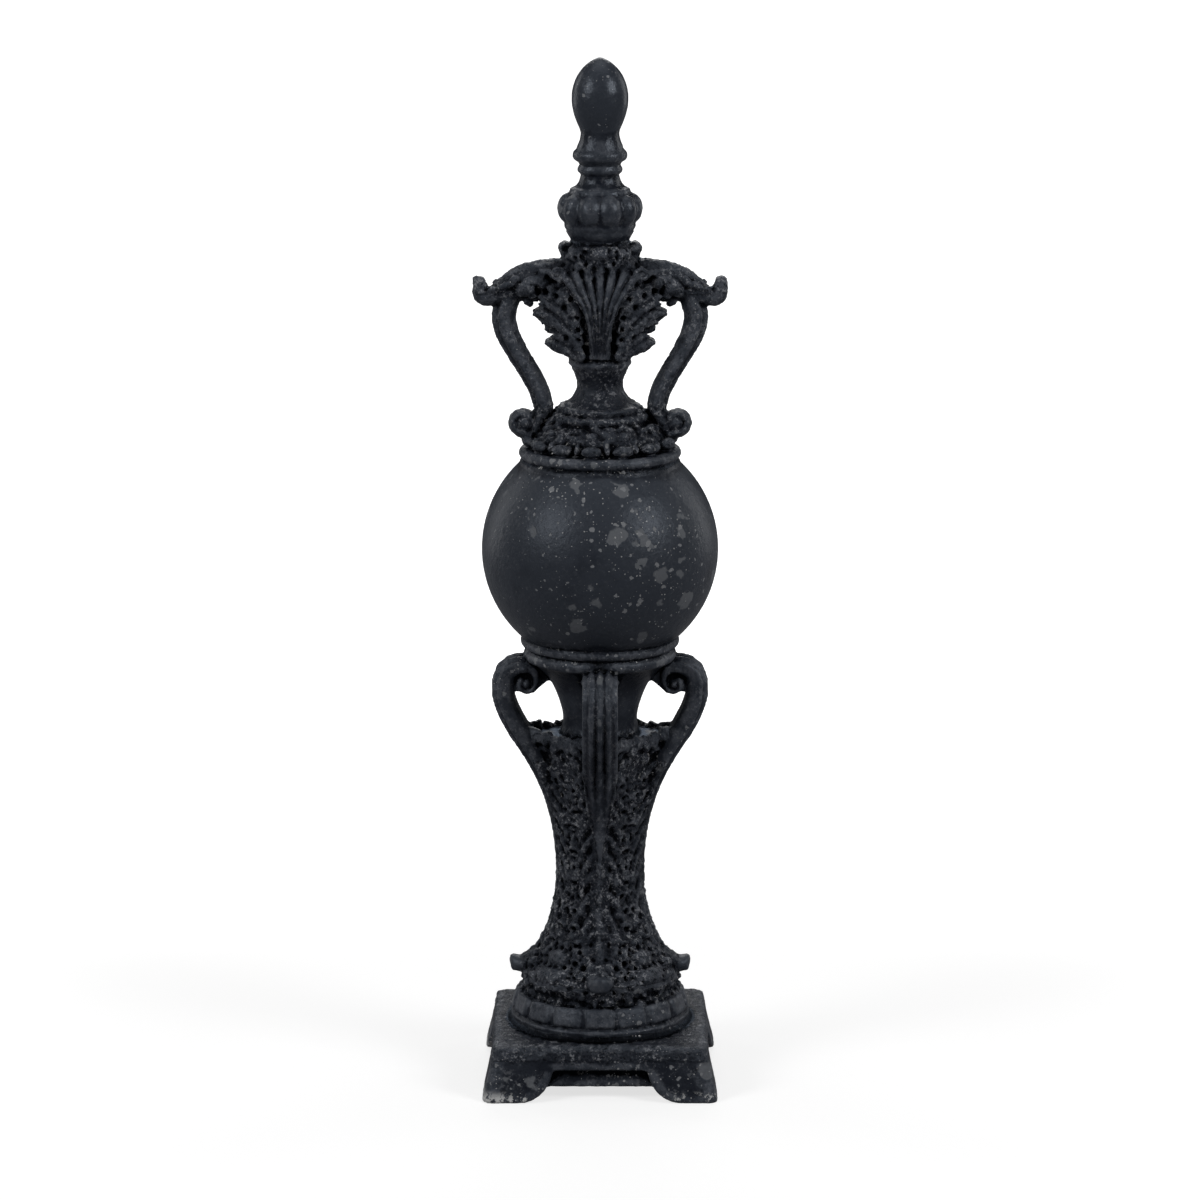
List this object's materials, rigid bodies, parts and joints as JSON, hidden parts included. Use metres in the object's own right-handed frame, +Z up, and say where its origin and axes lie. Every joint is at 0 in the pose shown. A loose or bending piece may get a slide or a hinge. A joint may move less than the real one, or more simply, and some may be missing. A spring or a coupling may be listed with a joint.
{
  "type": "roof finial",
  "caption": "Black standing roof finial: leaf shaft with scroll brackets, ball, two-handled urn crown and bud on a footed square plinth.",
  "frame": {"origin": "centre of the square base, on the plane of the four feet", "axes": "+Z up along the finial's axis; the handles reach along +X and -X; the front is -Y"},
  "size_m": [0.1492, 0.14, 0.6073],
  "materials": {
    "painted_cast_stone": "satin black paint over cast composite, with fine brush texture, grey chips and pale dust in the crevices"
  },
  "bodies": {
    "root": {"finial": "painted_cast_stone"}
  },
  "joints": []
}
